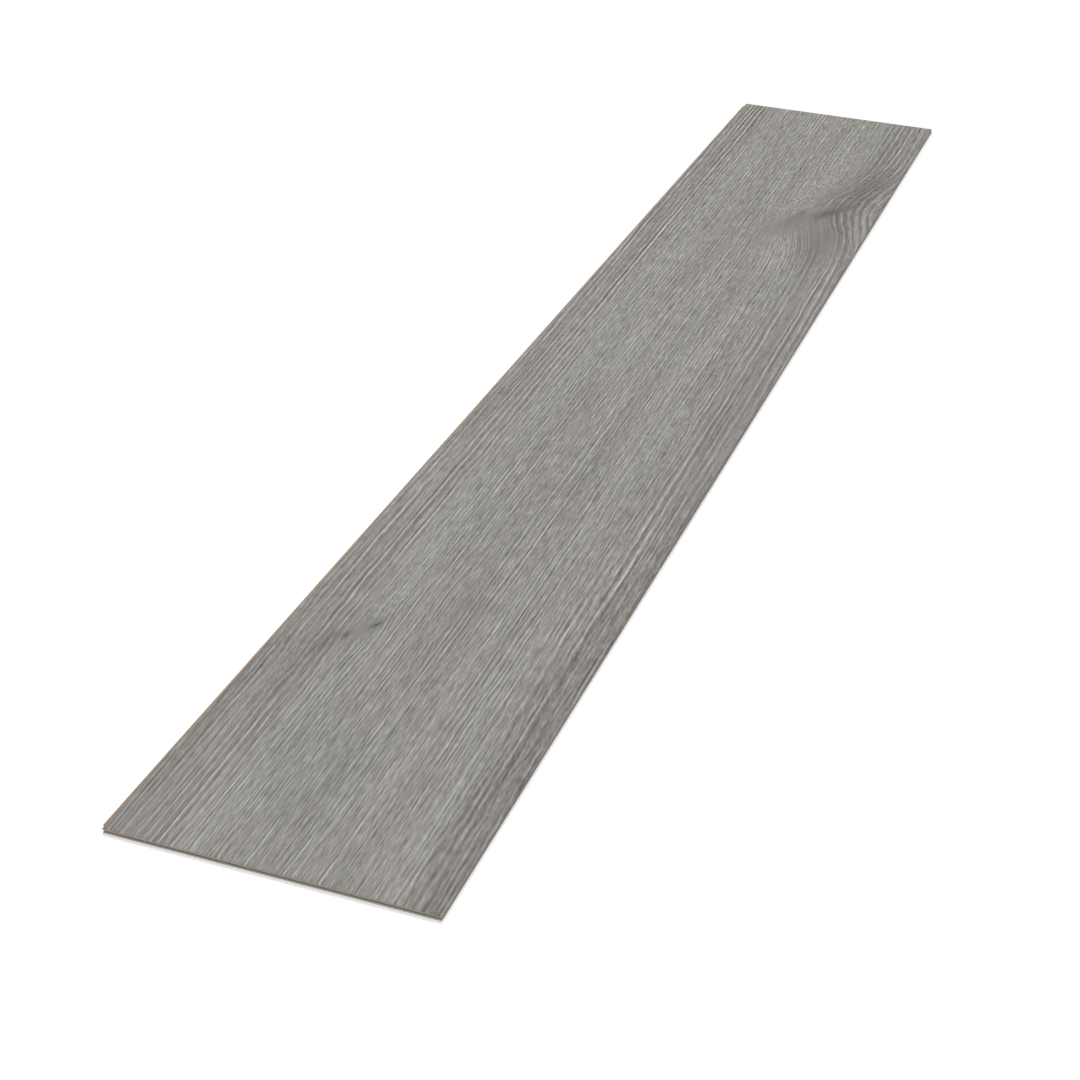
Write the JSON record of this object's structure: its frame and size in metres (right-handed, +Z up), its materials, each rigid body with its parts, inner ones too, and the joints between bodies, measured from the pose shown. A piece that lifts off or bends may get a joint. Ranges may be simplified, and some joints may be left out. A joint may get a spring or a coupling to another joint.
{
  "type": "vinyl floor plank",
  "caption": "Long rigid-core vinyl floor plank with an embossed grey wood-grain face, tan core, and click tongue and groove edges.",
  "frame": {"origin": "on the underside, under the middle of the plank with its tongues counted in", "axes": "+X along the plank from the groove end to the tongue end, +Y across it from the groove side to the tongue side, +Z up from the underside to the printed face"},
  "size_m": [1.2218, 0.1818, 0.0032],
  "materials": {
    "core": "matte",
    "face": "satin"
  },
  "bodies": {
    "root": {"core_board": "core", "vinyl_face": "face"}
  },
  "joints": []
}
